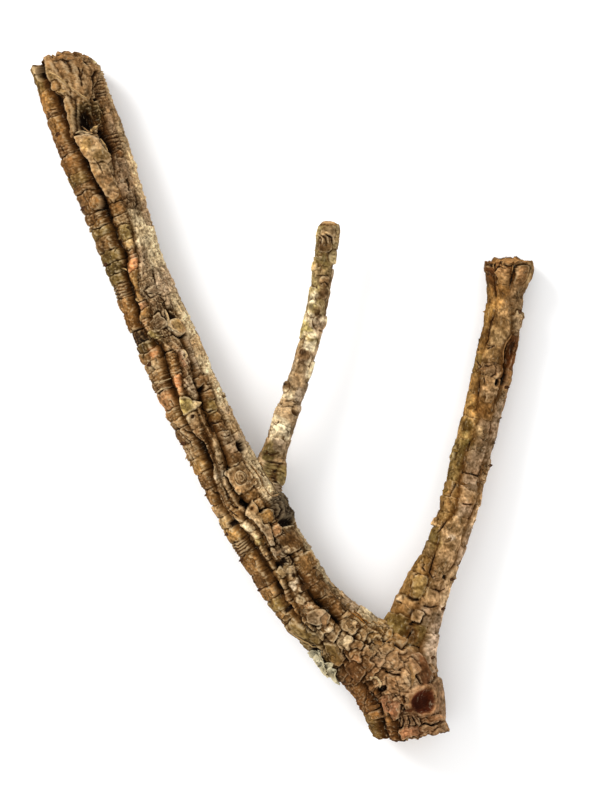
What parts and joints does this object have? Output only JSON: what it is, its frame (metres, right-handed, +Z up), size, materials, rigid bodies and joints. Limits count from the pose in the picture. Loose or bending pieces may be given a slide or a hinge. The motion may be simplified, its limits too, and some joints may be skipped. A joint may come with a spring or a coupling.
{
  "type": "fallen tree branch",
  "caption": "Fallen forked tree branch with thick, furrowed, corky bark: a curved main limb, a side limb and a thin twig, lying flat.",
  "frame": {"origin": "middle of the branch's footprint, on the ground that it lies on", "axes": "+Y from the butt towards the broken tips, +X from the main limb towards the side limb, +Z up off the ground"},
  "size_m": [0.4512, 0.6141, 0.0671],
  "materials": {
    "cork_bark": "dry, deeply furrowed corky bark with pale weathered ridges and dark brown cracks",
    "side_bark": "dry flat-plated bark with fine reddish-brown cracks",
    "twig_bark": "thin dull grey-olive bark with cream patches",
    "lichen": "matt, leafy, pale grey-green"
  },
  "bodies": {
    "root": {"main_limb": "cork_bark", "side_limb": "side_bark", "twig": "twig_bark"}
  },
  "joints": []
}
